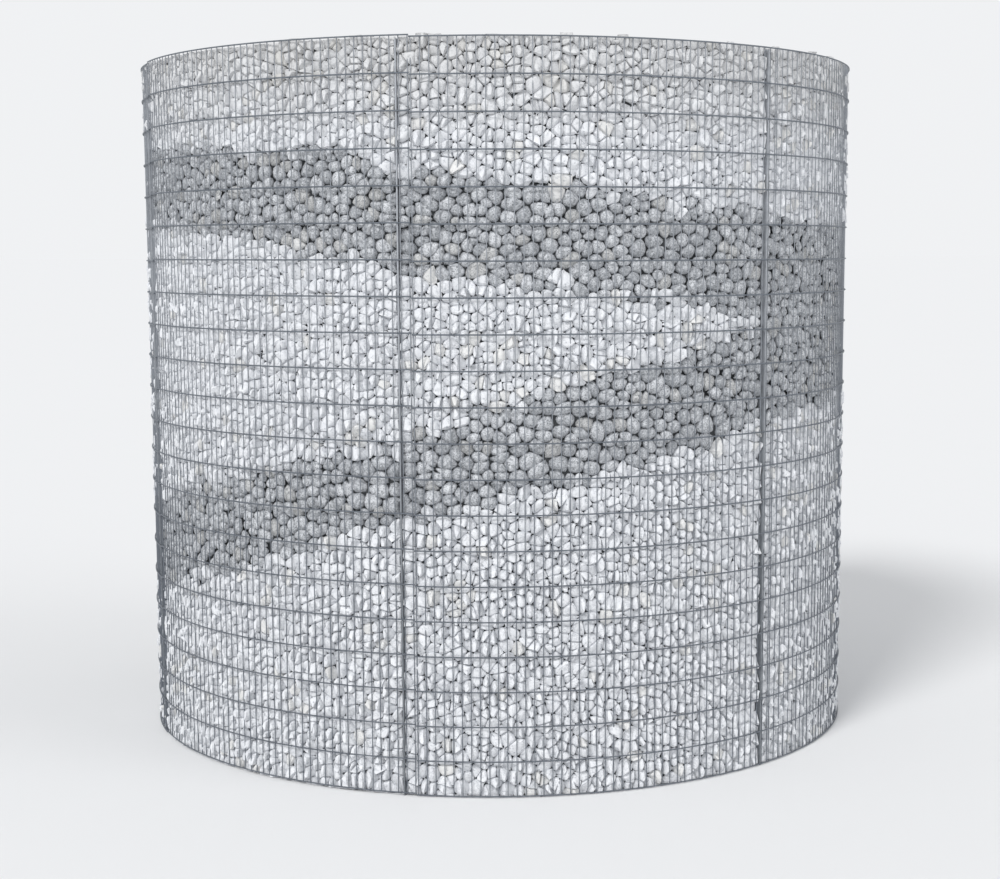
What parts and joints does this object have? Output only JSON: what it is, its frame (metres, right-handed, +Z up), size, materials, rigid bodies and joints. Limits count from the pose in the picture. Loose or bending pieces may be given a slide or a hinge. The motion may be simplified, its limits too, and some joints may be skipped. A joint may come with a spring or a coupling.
{
  "type": "gabion wall",
  "caption": "Round free-standing gabion wall, open at the back, with welded wire panels holding sloping layers of light and dark stone.",
  "frame": {"origin": "centre of the wall's outline, on the ground", "axes": "+X to the right seen from the front, +Y towards the open back, +Z up"},
  "size_m": [2.3137, 2.0618, 2.1112],
  "materials": {
    "light_stone": "broken faces",
    "dark_stone": "water-worn",
    "galvanised_wire": "weathered zinc",
    "galvanised_post": "weathered zinc"
  },
  "bodies": {
    "root": {"bay_1_light_base": "light_stone", "bay_1_lower_dark": "dark_stone", "bay_1_light_wedge": "light_stone", "bay_1_upper_dark": "dark_stone", "bay_1_light_top": "light_stone", "outer_mesh_1": "galvanised_wire", "inner_mesh_1": "galvanised_wire", "bay_2_light_base": "light_stone", "bay_2_lower_dark": "dark_stone", "bay_2_light_wedge": "light_stone", "bay_2_upper_dark": "dark_stone", "bay_2_light_top": "light_stone", "outer_mesh_2": "galvanised_wire", "inner_mesh_2": "galvanised_wire", "bay_3_light_base": "light_stone", "bay_3_lower_dark": "dark_stone", "bay_3_light_wedge": "light_stone", "bay_3_upper_dark": "dark_stone", "bay_3_light_top": "light_stone", "outer_mesh_3": "galvanised_wire", "inner_mesh_3": "galvanised_wire", "bay_4_light_base": "light_stone", "bay_4_dark_band": "dark_stone", "bay_4_light_top": "light_stone", "outer_mesh_4": "galvanised_wire", "inner_mesh_4": "galvanised_wire", "bay_5_light_base": "light_stone", "bay_5_dark_band": "dark_stone", "bay_5_light_top": "light_stone", "outer_mesh_5": "galvanised_wire", "inner_mesh_5": "galvanised_wire", "post_1": "galvanised_post", "post_2": "galvanised_post", "post_3": "galvanised_post", "post_4": "galvanised_post", "post_5": "galvanised_post", "post_6": "galvanised_post", "left_end_mesh": "galvanised_wire", "right_end_mesh": "galvanised_wire"}
  },
  "joints": []
}
